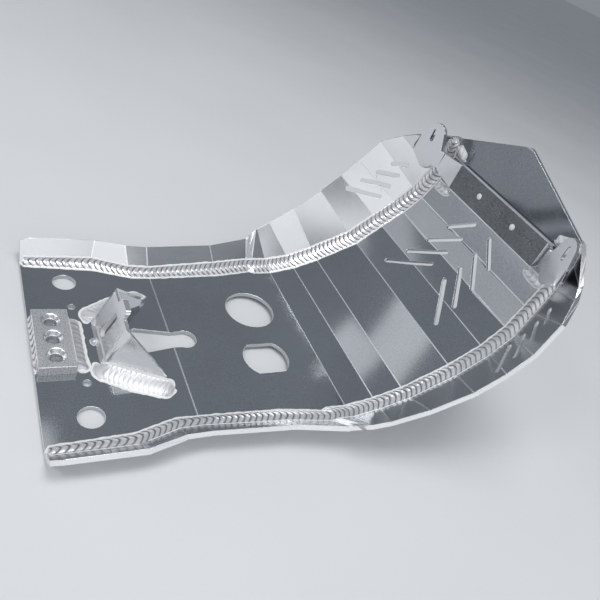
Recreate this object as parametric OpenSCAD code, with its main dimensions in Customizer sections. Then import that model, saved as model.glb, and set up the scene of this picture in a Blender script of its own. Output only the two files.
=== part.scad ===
// Motorcycle skid plate: a folded and welded aluminium tray that bolts
// under the engine, with slotted side wings and a turned-up front lip.
//
// How it is made
//   The main plate is one long strip of sheet. Its side view is worked out
//   from the length of each flat and the bend before it.
//   Each wing is a second sheet, welded on along the side of the plate. Its
//   bend lines start at the plate's own bends, so every flat of it stays
//   flat and the weld follows both sheets.
//   The bolting block, the saddle bracket and the crossbar with its two
//   ears are welded on the inside. Weld beads are rippled solids that lie
//   on the sheets they join.
//
// Axes: x runs forward, y to the rider's left, z up.
// Origin: the middle bolt hole of the rear block, on the plate's upper
// face, under the block.

/* [Sheet] */
// Thickness of the plate and wing sheet, mm
sheet_t = 4; // [3:0.5:5]
// Thickness of the bracket and crossbar sheet, mm
bracket_t = 4; // [3:0.5:5]

/* [Main plate] */
// Length of the flat rear floor, mm
rear_flat = 116.5; // [112:0.5:122]
// Length of the long, barely raised middle floor, mm
mid_flat = 139.6; // [136:0.2:144]
// Length of the front lip above the crossbar, mm
lip_len = 59; // [54:1:64]
// Half the width of the floor at its rear corners, mm
rear_half_w = 104.8; // [103:0.2:107]
// Width of the flat top of the lip before it is rounded, mm
lip_top_w = 16; // [10:1:24]
// Radius of the lip's rounded top, mm
lip_top_r = 12; // [8:1:18]

/* [Holes and slots] */
// Diameter of the two large holes beside the rear block, mm
large_hole_d = 20.4; // [18:0.2:24]
// Distance between the two large holes, mm
large_hole_span = 155.4; // [150:0.2:160]
// Diameter of the two tapped holes, M8 minor diameter, mm
tapped_d = 6.8; // [6.4:0.1:7]
// Distance between the two tapped holes, mm
tapped_span = 88.6; // [84:0.2:92]
// Diameter of the left drain hole, mm
left_drain_d = 51; // [46:1:54]
// Diameter of the right drain hole before its flats, mm
right_drain_d = 45.4; // [42:0.2:48]
// Distance between the flats of the right drain hole, mm
right_drain_flats = 36.5; // [34:0.5:40]
// Width of the cooling slots in floor and wings, mm
slot_w = 4.6; // [4:0.1:5.5]
// Number of cooling slots in each row
slot_count = 4; // [2:1:4]

/* [Rear block] */
// Length of the bolting block, front to rear, mm
block_len = 28.4; // [26:0.2:32]
// Width of the bolting block, mm
block_w = 66.4; // [62:0.2:72]
// Height of the bolting block, mm
block_h = 7.8; // [7:0.2:10]
// Diameter of the three bolt holes, mm
bolt_d = 8.6; // [8.2:0.1:9]
// Diameter of the countersinks, mm
countersink_d = 16; // [14:0.5:18]
// Distance from one bolt hole to the next, mm
bolt_pitch = 20; // [19:0.5:22]

/* [Saddle bracket] */
// Height of the saddle bracket, mm
saddle_h = 37; // [33:1:42]
// Half the width of the saddle bracket at its foot, mm
saddle_half_w = 27; // [25:0.5:29]
// How far the bracket leans forward, degrees
saddle_lean = 21.4; // [15:0.2:25]
// Outer radius of the bracket's two folds, mm
saddle_fold_r = 8; // [6:0.5:9]
// Turn of each fold, degrees
saddle_turn = 61.8; // [55:0.2:68]
// Width of the slot in the bracket, mm
saddle_slot_w = 8.5; // [7:0.5:10]

/* [Crossbar] */
// Half the width of the flat strip of the crossbar, mm
strip_half_w = 70; // [66:1:72]
// Width of the adjusting slot in each ear, mm
ear_slot_w = 4; // [3.5:0.1:5]
// Length of the adjusting slot in each ear, mm
ear_slot_len = 14; // [12:1:16]
// Diameter of the two plug welds, mm
plug_d = 6; // [5:0.5:8]

/* [Welds] */
// Distance from one ripple of a bead to the next, mm
ripple_pitch = 5.6; // [4.5:0.1:7]
// Bulge of a bead over the straight line between its edges, mm
bead_bulge = 1.1; // [0.6:0.1:1.6]
// Height of the ripples, mm
ripple_h = 0.7; // [0.3:0.1:1]

/* [Hidden] */
// small allowance that lets a cutter stand clear of what it cuts
clear = 0.5;
$fn = 64;

// The flats of the main plate from rear to front: length and the bend
// before it. The last flat but one carries the crossbar.
flats = [
    [rear_flat, 0],
    [mid_flat, 2.1],
    [29.6, 13.2],
    [30, 9.5],
    [51.7, 7.8],
    [36.1, 14.7],
    [29.2, 4.7],
    [26.2, 12],
    [28.7, 9],
    [30, 13],
    [lip_len, 15.5]
];
flat_count = len(flats);
crossbar_flat = flat_count - 2;

// direction of flat k in the side view, degrees above the x axis
function slope(k) = k == 0 ? flats[0][1] : slope(k - 1) + flats[k][1];

// a unit vector at an angle in the side view
function heading(a) = [cos(a), sin(a)];

// where flat k starts, [x, z] on the upper face
function corner(k) =
    k == 0 ? [0, 0]
    : corner(k - 1) + flats[k - 1][0] * heading(slope(k - 1));

// distance along the sheet at which flat k starts
function run_at(k) = k == 0 ? 0 : run_at(k - 1) + flats[k - 1][0];

// the flat that holds a point at a given run
function flat_at(run, k = 0) =
    k == flat_count - 1 || run < run_at(k + 1) ? k : flat_at(run, k + 1);

// the point [x, z] of the upper face at a given run
function floor_xz(run) =
    let (k = flat_at(run))
    corner(k) + (run - run_at(k)) * heading(slope(k));

// the same point in space, at a distance y from the middle
function floor_point(run, y) =
    let (p = floor_xz(run)) [p.x, y, p.y];

// the downward normal of flat k
function down(k) = [sin(slope(k)), -cos(slope(k))];

// offset that keeps a sheet's thickness through the bend between two
// faces with unit normals a and b
function mitre(a, b) = (a + b) / (1 + a * b);

// offset of the lower face at corner k
function lower_shift(k) =
    k == 0 ? down(0)
    : k == flat_count ? down(flat_count - 1)
    : mitre(down(k - 1), down(k));

upper_line = [for (k = [0:flat_count]) corner(k)];
lower_line = [for (k = [0:flat_count])
    corner(k) + sheet_t * lower_shift(k)];

// The wing's bend lines. Each row: run along the plate, how much wider the
// plate is there than at its rear corners, on one side, and how far the
// wing's top edge lies forward of, out from and above the line's start.
corner_run = run_at(flat_count - 1) + 18.6;
step_run = 230;
wing_rows = [
    [0, 0, 0, 15, 14],
    [8, 0, 0, 17, 16],
    [62, -0.3, 4.5, 18, 17],
    [97, -10.6, -2.5, 21, 18],
    [run_at(1), -11, -0.5, 21, 18],
    [190, -4.6, -4, 20.8, 17.6],
    [step_run, 2.2, 2.5, 25.3, 20.6],
    [step_run + 6, 0.7, 8.5, 33.5, 29],
    [run_at(2), 1.4, -9.5, 33.5, 29],
    [run_at(3), 1.8, -23.5, 37, 28.5],
    [run_at(4), 2.9, -22.5, 41.5, 34],
    [run_at(5), 2.4, -37, 47.5, 31.5],
    [run_at(6), 3.2, -41.5, 48.5, 28],
    [run_at(7), 1.2, -45, 50.5, 27],
    [run_at(8), -3, -42.5, 50, 33],
    [run_at(9), -5.4, -35.5, 40, 21.5],
    [run_at(10), -7, -28, 31.5, 0],
    [corner_run, -7.6, -6.8, 9, -5]
];
row_count = len(wing_rows);
// length of the seam weld's leg at each row
seam_legs = [5, 5, 7, 6.5, 6.2, 8, 8, 9, 9, 9, 9, 9, 9, 9, 8.5, 8, 7, 5];

function unit(v) = v / norm(v);

// an outline and its mirror image, as one closed outline
function both_halves(half) = concat(half,
    [for (i = [len(half) - 1:-1:0]) [-half[i].x, half[i].y]]);

// point p moved square onto the plane through a, b and c
function flattened(p, a, b, c) =
    let (n = unit(cross(b - a, c - a))) p - n * ((p - a) * n);

// foot of the flat that carries the crossbar, and half the plate's width
// there; ears and wing slots are placed from them
lip_base = floor_point(run_at(crossbar_flat), 0);
lip_half_w = rear_half_w - 5.4;

wing_roots = [for (row = wing_rows)
    floor_point(row[0], rear_half_w + row[1])];

// Top ends of the bend lines. Each is moved onto the plane of the panel
// behind it, so that every panel of the wing is truly flat.
function wing_tops(i = 0, tops = []) =
    i == row_count ? tops
    : let (
        row = wing_rows[i],
        raw = wing_roots[i] + [row[2], row[3], row[4]],
        top = i == 0 ? raw
            : flattened(raw, wing_roots[i - 1], wing_roots[i], tops[i - 1])
    )
    wing_tops(i + 1, concat(tops, [top]));
wing_top_points = wing_tops();

// lines of a folded sheet: [root, top] pairs
wing_lines = [for (i = [0:row_count - 1])
    [wing_roots[i], wing_top_points[i]]];

// unit normal of the panel between line i and the next, outward
function panel_normal(lines, i, side) =
    side * unit(cross(lines[i + 1][0] - lines[i][0],
                      lines[i][1] - lines[i][0]));

// offset for a thickness of one at line i
function line_shift(lines, i, side) =
    i == 0 ? panel_normal(lines, 0, side)
    : i == len(lines) - 1 ? panel_normal(lines, i - 1, side)
    : mitre(panel_normal(lines, i - 1, side), panel_normal(lines, i, side));

// side faces between ring i and ring i + 1 of n points
function ring_faces(i, n) = [for (j = [0:n - 1])
    let (a = i * n + j, b = i * n + (j + 1) % n)
    [a, b, b + n, a + n]];

// a solid through rings of points, capped at both ends
module loft(rings) {
    n = len(rings[0]);
    last = len(rings) - 1;
    sides = [for (i = [0:last - 1]) each ring_faces(i, n)];
    start_cap = [for (j = [n - 1:-1:0]) j];
    end_cap = [for (j = [0:n - 1]) last * n + j];
    polyhedron(
        points = [for (ring = rings) each ring],
        faces = concat(sides, [start_cap, end_cap]),
        convexity = 12
    );
}

// A folded sheet through bend lines. It reaches below the roots by a
// given depth. Its thickness lies on the side its normals point to: side
// is -1 for the wing's lines and 1 for lines that turn the other way.
module folded_sheet(lines, thick, below = 0, side = -1) {
    rings = [for (i = [0:len(lines) - 1])
        let (
            along = unit(lines[i][1] - lines[i][0]),
            foot = lines[i][0] - below * along,
            head = lines[i][1],
            shift = thick * line_shift(lines, i, side)
        )
        side < 0 ? [foot, head, head + shift, foot + shift]
                 : [head, foot, foot + shift, head + shift]];
    loft(rings);
}

// moves a plan made in x and z into its place, standing along y
module side_view(width) {
    rotate([90, 0, 0])
        linear_extrude(height = width, center = true)
            children();
}

// moves an outline made in y and z into its place, standing along x
module front_view(depth) {
    rotate([90, 0, 90])
        linear_extrude(height = depth)
            children();
}

// everything below and in front of the lower face of the plate
module outside_of_tray() {
    depth = 25;
    side_view(500)
        polygon(concat(
            [[-5, -sheet_t], [-5, -sheet_t - depth]],
            [for (k = [1:flat_count])
                lower_line[k] + depth * lower_shift(k)],
            [for (k = [flat_count:-1:1]) lower_line[k]]
        ));
}

// a straight slot with round ends from a to b, cut along direction n
module slot_cut(a, b, n, width, depth) {
    span = norm(b - a);
    e = unit(b - a);
    up = unit(n - e * (n * e));
    across = cross(up, e);
    mid = (a + b) / 2;
    straight = span - width;
    multmatrix([
        [e.x, across.x, up.x, mid.x],
        [e.y, across.y, up.y, mid.y],
        [e.z, across.z, up.z, mid.z],
        [0, 0, 0, 1]
    ]) {
        cube([straight, width, 2 * depth], center = true);
        for (end = [-1, 1])
            translate([end * straight / 2, 0, 0])
                cylinder(d = width, h = 2 * depth, center = true);
    }
}

// the parts that both sides share, drawn for y > 0 and mirrored
module on_side(side) {
    if (side < 0)
        mirror([0, 1, 0]) children();
    else
        children();
}

// places a part drawn from the plate's rear edge into the frame
hole_x = 2.4 + block_len / 2;
module placed() {
    translate([-hole_x, 0, 0]) children();
}

// The main plate: its side view cut to the outline of the lip, then
// trimmed along the wings.
lip_corner = wing_roots[row_count - 1];
lip_top_z = floor_xz(run_at(flat_count)).y;

// front outline of the plate: full width below, a rounded roof above
module lip_outline() {
    wide = rear_half_w + 20;
    flat_top = lip_top_w / 2;
    rise = atan2(lip_top_z - lip_corner.z, lip_corner.y - flat_top);
    // the sloping edges end just inside the round top
    round_z = lip_top_z - lip_top_r;
    touch = (lip_top_r - hair) * heading(90 - rise);
    half_outline = [
        [wide, -20],
        [wide, lip_corner.z - 60],
        [lip_corner.y + 4, lip_corner.z - 4 * tan(rise)],
        [touch.x, round_z + touch.y]
    ];
    polygon(both_halves(half_outline));
    translate([0, round_z])
        circle(r = lip_top_r);
}

// the wing's lines, carried on a little past both ends, for the cutter
function carried_on(line, step) = [for (p = line) p + step];

cutter_lines = concat(
    [carried_on(wing_lines[0], [-5, 0, 0])],
    wing_lines,
    [carried_on(
        wing_lines[row_count - 1],
        12 * unit(wing_roots[row_count - 1] - wing_roots[row_count - 2])
    )]
);

// The space outside the wings' inner faces, which trims the plate. It
// stands a hair off, so that its bends never meet the plate's corners.
hair = 0.05;
module outside_of_wing() {
    translate([hair, -hair, hair])
        folded_sheet(cutter_lines, 18, 14);
}

module plate_blank() {
    difference() {
        intersection() {
            side_view(2 * (rear_half_w + 4.5))
                polygon(concat(
                    upper_line,
                    [for (k = [flat_count:-1:0]) lower_line[k]]
                ));
            translate([-clear, 0, 0])
                front_view(500)
                    lip_outline();
        }
        outside_of_wing();
        mirror([0, 1, 0])
            outside_of_wing();
    }
}

// drop-shaped slot on the middle line, in front of the saddle bracket
drop_tip_x = 129.3;
drop_tip_r = 10.8;
drop_waist_x = 116;
drop_waist_half = 9.7;
drop_tail_x = 85;
drop_tail_half = 15.5;
module drop_slot() {
    translate([drop_tip_x, 0, -20])
        cylinder(r = drop_tip_r, h = 40);
    translate([0, 0, -20])
        linear_extrude(height = 40)
            rotate(-90)
                polygon(both_halves([
                    [drop_waist_half, drop_tip_x],
                    [drop_waist_half, drop_waist_x],
                    [drop_tail_half, drop_tail_x],
                    [drop_tail_half - 6, drop_tail_x - 12]
                ]));
}

// Rows of cooling slots. Slot 0 is the one nearest the lip.
floor_slot_y = 13.8;
floor_slot_run = 480.5;
floor_slot_step = 20.3;
floor_tip_run = 456.5;
floor_tip_step = 25;
floor_tip_y = 38.2;
floor_tip_spread = 4.9;
module floor_slot(k) {
    run_in = floor_slot_run - floor_slot_step * k;
    run_out = floor_tip_run - floor_tip_step * k;
    a = floor_point(run_in, floor_slot_y - slot_w / 2);
    b = floor_point(run_out, floor_tip_y + floor_tip_spread * k);
    tilt = (slope(flat_at(run_in)) + slope(flat_at(run_out))) / 2;
    slot_cut(a, b, [-sin(tilt), 0, cos(tilt)], slot_w, 14);
}

wing_slot_in = lip_base + [-22.4, lip_half_w + 22.6, -4.3];
wing_slot_in_step = [-5.2, 0, -15];
wing_slot_out = lip_base + [-36.4, lip_half_w + 35.8, -11.6];
wing_slot_out_step = [-12.3, 3.8, -15];
wing_slot_normal = [0.65, 0.71, -0.25];
module wing_slot(k) {
    slot_cut(
        wing_slot_in + k * wing_slot_in_step,
        wing_slot_out + k * wing_slot_out_step,
        wing_slot_normal, slot_w, 14
    );
}

left_drain = [208.4, 36.4];
right_drain = [200.9, -30.5];
module drain_holes() {
    translate([left_drain.x, left_drain.y, -20])
        cylinder(d = left_drain_d, h = 40);
    intersection() {
        translate([right_drain.x, right_drain.y, -20])
            cylinder(d = right_drain_d, h = 40);
        translate([right_drain.x, right_drain.y, 0])
            cube([60, right_drain_flats, 60], center = true);
    }
}

large_hole_x = 35;
tapped_x = 36.9;
module rear_holes() {
    for (side = [-1, 1]) {
        translate([large_hole_x, side * large_hole_span / 2, -20])
            cylinder(d = large_hole_d, h = 40);
        translate([tapped_x, side * tapped_span / 2, -20])
            cylinder(d = tapped_d, h = 40);
    }
    bolt_bores(40);
}

// the three bolt holes run through block and plate
module bolt_bores(depth) {
    for (k = [-1:1])
        translate([hole_x, k * bolt_pitch, -depth / 2])
            cylinder(d = bolt_d, h = depth);
}

module main_plate() {
    color("#7c8288")
        placed()
            difference() {
                plate_blank();
                rear_holes();
                drop_slot();
                drain_holes();
                for (side = [-1, 1])
                    on_side(side)
                        for (k = [0:slot_count - 1])
                            floor_slot(k);
            }
}

// The wings. The lower edge stops flush with the underside of the plate.
relief_w = 2.4;
relief_depth = 7;
module wing(side) {
    relief = (wing_top_points[6] + wing_top_points[7]) / 2;
    relief_down = unit(wing_top_points[7] - wing_roots[7]);
    placed()
        on_side(side)
            difference() {
                folded_sheet(wing_lines, sheet_t, 7);
                outside_of_tray();
                for (k = [0:slot_count - 1])
                    wing_slot(k);
                // relief slit where the low rear run steps up
                slot_cut(relief + 4 * relief_down,
                         relief - (relief_depth + 4) * relief_down,
                         wing_slot_normal, relief_w, 10);
            }
}

module left_wing() {
    color("#a9aeb3") wing(1);
}

module right_wing() {
    color("#a9aeb3") wing(-1);
}

// The bolting block at the rear, with three countersunk holes.
block_x = hole_x - block_len / 2;
sink_depth = (countersink_d - bolt_d) / 2;
module rear_mounting_block() {
    color("#8d9297")
        placed()
            difference() {
                translate([block_x, -block_w / 2, 0])
                    cube([block_len, block_w, block_h]);
                bolt_bores(40);
                for (k = [-1:1])
                    translate([hole_x, k * bolt_pitch, block_h])
                        countersink();
            }
}

module countersink() {
    rotate_extrude()
        polygon([
            [0, -sink_depth],
            [bolt_d / 2, -sink_depth],
            [countersink_d / 2, 0],
            [countersink_d / 2, 1],
            [0, 1]
        ]);
}

// The saddle bracket: a strip folded to a U, leaning forward, its cheeks
// cut down to the front, with a slotted tab in the middle.
saddle_x = 50;
saddle_reach = 52;
saddle_front_h = 7.5;
saddle_end_x = 98;
tab_w = 18;
tab_rise = 5.5;
saddle_slot_low = 13;
saddle_slot_high = 30;

// outline of the folded strip at a depth inside its outer face
fold_steps = 8;
function strip_side(depth) =
    let (
        flat = saddle_half_w - saddle_fold_r * tan(saddle_turn / 2),
        centre = [saddle_fold_r, flat],
        r = saddle_fold_r - depth,
        last = centre + r * heading(180 - saddle_turn),
        reach = saddle_reach * heading(90 - saddle_turn)
    )
    concat(
        [for (i = [0:fold_steps])
            centre + r * heading(180 - saddle_turn * i / fold_steps)],
        [last + reach]
    );

module saddle_strip() {
    outer = strip_side(0);
    inner = strip_side(bracket_t);
    polygon(concat(
        [for (i = [len(outer) - 1:-1:0]) [outer[i].x, -outer[i].y]],
        outer,
        [for (i = [len(inner) - 1:-1:0]) inner[i]],
        [for (p = inner) [p.x, -p.y]]
    ));
}

module saddle_leaning(z0, h) {
    translate([saddle_x, 0, 0])
        rotate([0, saddle_lean, 0])
            translate([0, 0, z0])
                linear_extrude(height = h)
                    children();
}

saddle_fold_x = saddle_x + saddle_h * tan(saddle_lean);
tab_r = 3;
module saddle_blank() {
    intersection() {
        saddle_leaning(-30, 90)
            saddle_strip();
        union() {
            side_view(160)
                polygon([
                    [saddle_x - 20, 0],
                    [saddle_end_x, 0],
                    [saddle_end_x, saddle_front_h],
                    [saddle_fold_x + 2, saddle_h],
                    [saddle_x - 20, saddle_h]
                ]);
            // raised tab with round corners
            translate([saddle_x, 0, 0])
                front_view(30)
                    tab_outline();
        }
    }
}

module tab_outline() {
    top = saddle_h + tab_rise;
    half = tab_w / 2;
    translate([-half, saddle_h - 6])
        square([tab_w, tab_rise + 6 - tab_r]);
    translate([-half + tab_r, saddle_h - 6])
        square([tab_w - 2 * tab_r, tab_rise + 6]);
    for (side = [-1, 1])
        translate([side * (half - tab_r), top - tab_r])
            circle(r = tab_r);
}

module saddle_bracket() {
    mid = (saddle_slot_low + saddle_slot_high) / 2;
    straight = saddle_slot_high - saddle_slot_low;
    color("#9aa0a6")
        placed()
            difference() {
                saddle_blank();
                translate([saddle_x, 0, 0])
                    rotate([0, saddle_lean, 0])
                        translate([0, 0, mid])
                            rotate([0, 90, 0]) {
                                cube([straight, saddle_slot_w, 30],
                                     center = true);
                                for (end = [-1, 1])
                                    translate([end * straight / 2, 0, 0])
                                        cylinder(d = saddle_slot_w, h = 30,
                                                 center = true);
                            }
            }
}

// The crossbar: a flat strip on the inside of the plate, folded back at
// both ends to a cheek, then outward to a D-shaped ear with a slot.
bar_run = run_at(crossbar_flat);
bar_low = 2;
bar_high = flats[crossbar_flat][0] - 0.5;
bar_up = [cos(slope(crossbar_flat)), 0, sin(slope(crossbar_flat))];
bar_in = [-sin(slope(crossbar_flat)), 0, cos(slope(crossbar_flat))];
ear_fold_low = lip_base + [-19.3, strip_half_w + 14.1, 13.1];
ear_fold_high = lip_base + [-21.1, strip_half_w + 16, 33.1];
ear_far = lip_base + [-33.7, strip_half_w + 48.6, 26.1];

function bar_point(up, y) =
    floor_point(bar_run, y) + up * bar_up + bracket_t * bar_in;

fold_low = bar_point(bar_low, strip_half_w);
fold_high = bar_point(bar_high, strip_half_w);
bar_half_lines = [
    [fold_low, fold_high],
    [flattened(ear_fold_low, fold_low, fold_high, ear_fold_high),
     ear_fold_high]
];

// a bend line carried over to the other side of the middle
function mirrored(line) = [for (p = line) [p.x, -p.y, p.z]];
bar_lines = [
    mirrored(bar_half_lines[1]),
    mirrored(bar_half_lines[0]),
    bar_half_lines[0],
    bar_half_lines[1]
];

// the ear's own plane: two lines on it, longer than the ear
ear_along = unit(bar_half_lines[1][1] - bar_half_lines[1][0]);
ear_base = bar_half_lines[1][0] - 12 * ear_along;
ear_peak = bar_half_lines[1][1] + 28 * ear_along;
ear_out = ear_far - bar_half_lines[1][1];
ear_lines = [
    [ear_base - 0.08 * ear_out, ear_peak - 0.08 * ear_out],
    [ear_base + 1.3 * ear_out, ear_peak + 1.3 * ear_out]
];
ear_normal = panel_normal(ear_lines, 0, 1);

// D outline of the ear seen from behind, in y and z
module ear_outline() {
    translate([strip_half_w, lip_base.z])
        hull() {
            translate([33.2, 47.1])
                circle(r = 9.5);
            translate([39, 24.1])
                circle(r = 10.5);
            translate([30, 14.6])
                circle(r = 8);
            translate([18.5, 24.1])
                square([1, 8]);
        }
    // neck that meets the fold
    translate([strip_half_w + 14, lip_base.z + 14.1])
        square([8, 18.5]);
}

ear_slot_y = strip_half_w + 34;
ear_slot_z = lip_base.z + 42.6;
ear_slot_x = ear_far.x
    - (ear_normal.y * (ear_slot_y - ear_far.y)
       + ear_normal.z * (ear_slot_z - ear_far.z)) / ear_normal.x;
module ear_slot() {
    reach = [0, 0, ear_slot_len / 2];
    mid = [ear_slot_x, ear_slot_y, ear_slot_z];
    slot_cut(mid - reach, mid + reach, ear_normal, ear_slot_w, 10);
}

plug_y = 27.3;
plug_up = 17.2;
module at_plug(side) {
    p = bar_point(plug_up, side * plug_y);
    translate(p)
        rotate([0, -slope(crossbar_flat), 0])
            children();
}

module front_crossbar() {
    color("#9aa0a6")
        placed()
            difference() {
                union() {
                    folded_sheet(bar_lines, bracket_t, 0, 1);
                    for (side = [-1, 1])
                        on_side(side)
                            intersection() {
                                folded_sheet(ear_lines, bracket_t, 0, 1);
                                translate([lip_base.x - 33, 0, 0])
                                    front_view(60)
                                        ear_outline();
                            }
                }
                for (side = [-1, 1]) {
                    on_side(side)
                        ear_slot();
                    at_plug(side)
                        translate([0, 0, -10])
                            cylinder(d = plug_d, h = 20);
                }
            }
}

// Plug welds: each fills its hole in the strip and stands up a little.
module plug_weld(side) {
    color("#b9bdc1")
        placed()
            at_plug(side) {
                translate([0, 0, -bracket_t])
                    cylinder(d = plug_d, h = bracket_t);
                intersection() {
                    translate([0, 0, -4])
                        sphere(r = 5);
                    cylinder(d = plug_d, h = 3);
                }
            }
}

module plug_weld_left() {
    plug_weld(1);
}

module plug_weld_right() {
    plug_weld(-1);
}

// Weld beads. A bead lies in the corner between two faces. Each station
// holds the corner point and the bead's edge on either face.
ring_steps = 4;

// height of the ripple at a distance along the bead, 0 to 1
function ripple(s) =
    let (part = s / ripple_pitch - floor(s / ripple_pitch))
    sin(180 * pow(part, 0.7));

// one ring: corner, then the skin from edge a to edge b
function bead_ring(station, s, size) =
    let (
        root = station[0],
        a = root + size * (station[1] - root),
        b = root + size * (station[2] - root),
        out = unit((a + b) / 2 - root)
    )
    concat([root, a],
        [for (j = [1:ring_steps - 1])
            let (
                u = j / ring_steps,
                crown = sin(180 * u),
                lag = 0.45 * ripple_pitch * crown
            )
            a + u * (b - a) + size * crown * out
                * (bead_bulge + ripple_h * ripple(s + lag))],
        [b]);

function mix(p, q, t) = p + t * (q - p);

function station_mix(a, b, t) =
    [mix(a[0], b[0], t), mix(a[1], b[1], t), mix(a[2], b[2], t)];

// distance along the roots up to station i
function bead_run(stations, i) =
    i == 0 ? 0
    : bead_run(stations, i - 1)
      + norm(stations[i][0] - stations[i - 1][0]);

// full size along the bead, falling off at both of its ends
function end_size(s, total) = min(1, 0.72 + 0.1 * min(s, total - s));

module bead(stations, side = 1) {
    last = len(stations) - 1;
    total = bead_run(stations, last);
    rings = [for (i = [0:last - 1])
        let (
            start = bead_run(stations, i),
            span = norm(stations[i + 1][0] - stations[i][0]),
            steps = max(1, round(4 * span / ripple_pitch))
        )
        for (k = [0:i == last - 1 ? steps : steps - 1])
            let (s = start + span * k / steps)
            bead_ring(station_mix(stations[i], stations[i + 1], k / steps),
                      s, end_size(s, total))];
    loft(side > 0 ? rings
         : [for (ring = rings) [for (j = [len(ring) - 1:-1:0]) ring[j]]]);
}

// Seam welds between plate and wings
seam_stations = [for (i = [0:row_count - 1])
    let (
        root = wing_roots[i],
        up = unit(wing_top_points[i] - root)
    )
    [root, root - [0, seam_legs[i], 0], root + seam_legs[i] * up]];

module seam_weld(side) {
    color("#c3c7cb")
        placed()
            on_side(side)
                bead(seam_stations);
}

module seam_weld_left() {
    seam_weld(1);
}

module seam_weld_right() {
    seam_weld(-1);
}

// Block welds, along the rear and the front face of the block
module block_rear_weld() {
    half = block_w / 2 - 3;
    color("#c3c7cb")
        placed()
            bead([for (end = [-1, 1])
                [[block_x, end * half, 0],
                 [block_x - 2.4, end * half, 0],
                 [block_x, end * half, 6.4]]], -1);
}

module block_front_weld() {
    front = block_x + block_len;
    color("#c3c7cb")
        placed()
            bead([
                [[front, -block_w / 2 + 1, 0],
                 [front + 11, -block_w / 2 - 1, 0],
                 [front, -block_w / 2 + 1, 7]],
                [[front, -block_w / 2 + 12, 0],
                 [front + 8.5, -block_w / 2 + 12, 0],
                 [front, -block_w / 2 + 12, 6.4]],
                [[front, block_w / 2 - 5, 0],
                 [front + 9, block_w / 2 - 5, 0],
                 [front, block_w / 2 - 5, 6.4]]
            ]);
}

// Bracket welds: from the fold forward along the foot of each cheek
saddle_flat = saddle_half_w - saddle_fold_r * tan(saddle_turn / 2);

// outer foot of the bracket on the floor: the fold is widened by the lean
function saddle_foot(angle) =
    let (p = saddle_fold_r * heading(180 - angle))
    [saddle_x + (saddle_fold_r + p.x) / cos(saddle_lean),
     saddle_flat + p.y, 0];

function cheek_foot(distance) =
    let (
        start = saddle_foot(saddle_turn),
        step = distance * heading(90 - saddle_turn)
    )
    [start.x + step.x / cos(saddle_lean), start.y + step.y, 0];

module bracket_weld(side) {
    lean = [sin(saddle_lean), 0, cos(saddle_lean)];
    turns = 4;
    outward = heading(180 - saddle_turn);
    out = [outward.x, outward.y, 0];
    // foot point, direction of the bead's outer edge, its width and height
    corner_feet = [for (k = [1:turns])
        let (
            turn = saddle_turn * k / turns,
            dir = heading(180 - turn)
        )
        [saddle_foot(turn), [dir.x, dir.y, 0], 8 + 1.5 * k, 6]];
    cheek_feet = [
        [cheek_foot(24), out, 16, 6],
        [cheek_foot(46), out, 14.5, 6],
        [cheek_foot(56), out, 12, 3]
    ];
    color("#c3c7cb")
        placed()
            on_side(side)
                bead([for (foot = concat(corner_feet, cheek_feet))
                    [foot[0],
                     foot[0] + foot[2] * foot[1],
                     foot[0] + foot[3] * lean]], -1);
}

module bracket_weld_left() {
    bracket_weld(1);
}

module bracket_weld_right() {
    bracket_weld(-1);
}

module bracket_foot_weld() {
    color("#c3c7cb")
        placed()
            bead([for (y = [-4, 5])
                [[saddle_x, y, 0],
                 [saddle_x - 3.5, y, 0],
                 [saddle_x + 4 * sin(saddle_lean), y,
                  4 * cos(saddle_lean)]]], -1);
}

// Corner welds of the crossbar: beads that lie on one flat of the plate,
// from each fold out to the seam weld. Each end is [run, y].
module flat_bead(k, from, to, half, tall) {
    face = -[down(k).x, 0, down(k).y];
    start = floor_point(from[0], from[1]);
    end = floor_point(to[0], to[1]);
    across = cross(face, unit(end - start));
    steps = round(4 * norm(end - start) / ripple_pitch);
    rings = [for (i = [0:steps])
        let (
            t = i / steps,
            size = min(1, 0.6 + 2 * min(t, 1 - t)),
            crest = tall * size * (0.75 + 0.25 * ripple(1.4 * i))
        )
        [for (u = [-1, -0.6, 0, 0.6, 1])
            mix(start, end, t) + u * half * size * across
                + crest * (1 - u * u) * face]];
    loft(rings);
}

module upper_weld(side) {
    run = run_at(crossbar_flat + 1);
    color("#c3c7cb")
        placed()
            on_side(side)
                flat_bead(crossbar_flat + 1, [run + 5, strip_half_w + 1.5],
                          [run + 12.5, lip_half_w - 9.4], 4.8, 3.6);
}

module lower_weld(side) {
    run = run_at(crossbar_flat);
    color("#c3c7cb")
        placed()
            on_side(side)
                flat_bead(crossbar_flat - 1, [run - 4.6, strip_half_w - 4],
                          [run - 6, lip_half_w - 8.9], 4.4, 3.4);
}

module crossbar_upper_weld_left() {
    upper_weld(1);
}

module crossbar_upper_weld_right() {
    upper_weld(-1);
}

module crossbar_lower_weld_left() {
    lower_weld(1);
}

module crossbar_lower_weld_right() {
    lower_weld(-1);
}

main_plate();
left_wing();
right_wing();
rear_mounting_block();
saddle_bracket();
front_crossbar();
plug_weld_left();
plug_weld_right();
seam_weld_left();
seam_weld_right();
block_rear_weld();
block_front_weld();
bracket_weld_left();
bracket_weld_right();
bracket_foot_weld();
crossbar_upper_weld_left();
crossbar_upper_weld_right();
crossbar_lower_weld_left();
crossbar_lower_weld_right();
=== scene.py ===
# %% [markdown]
# # A welded motorcycle skid plate
# The real object is a tray of folded aluminium sheet that bolts under an
# engine. A CAD model already holds its true shape and size. This lesson
# dresses that model: it rounds the cut edges, softens the press lines,
# draws finer weld beads, and gives each metal part its own finish.

import bisect
import math
from typing import NamedTuple

import bmesh
import bpy
from mathutils import Matrix, Vector
from mathutils.noise import noise as noise_value


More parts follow.
